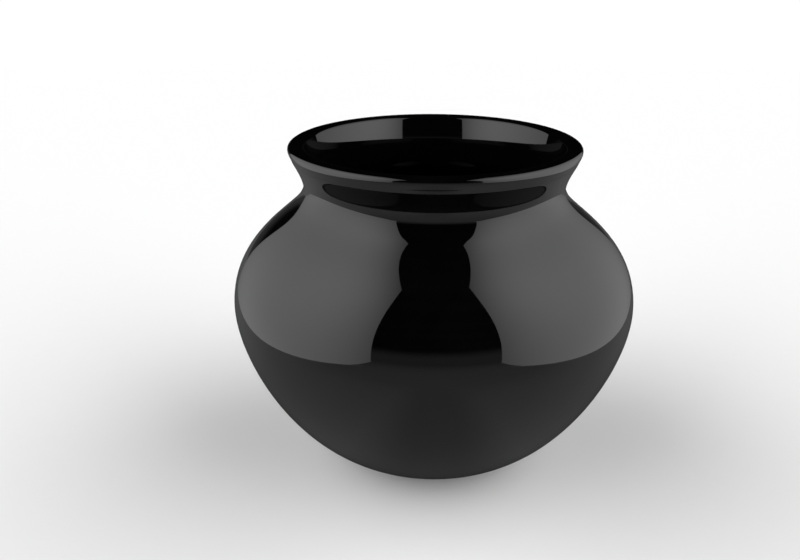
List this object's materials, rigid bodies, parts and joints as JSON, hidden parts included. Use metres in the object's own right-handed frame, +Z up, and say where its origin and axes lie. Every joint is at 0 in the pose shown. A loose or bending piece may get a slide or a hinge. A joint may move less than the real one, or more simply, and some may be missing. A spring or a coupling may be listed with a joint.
{
  "type": "round clay pot",
  "caption": "Round-bellied burnished black clay pot with a narrow neck, a flared mouth and a thick rolled lip, hand-built and free-standing.",
  "frame": {"origin": "centre of the flat that the pot stands on", "axes": "+Z up along the pot's axis of symmetry, out of the mouth; X and Y level"},
  "size_m": [0.25, 0.25, 0.205],
  "materials": {
    "burnished_black_clay": "burnished to a mirror gloss, unglazed"
  },
  "bodies": {
    "root": {"base_pinch_bowl": "burnished_black_clay", "lower_wall_coil": "burnished_black_clay", "belly_coil": "burnished_black_clay", "shoulder_coil": "burnished_black_clay", "neck_coil": "burnished_black_clay", "lip_roll": "burnished_black_clay"}
  },
  "joints": []
}
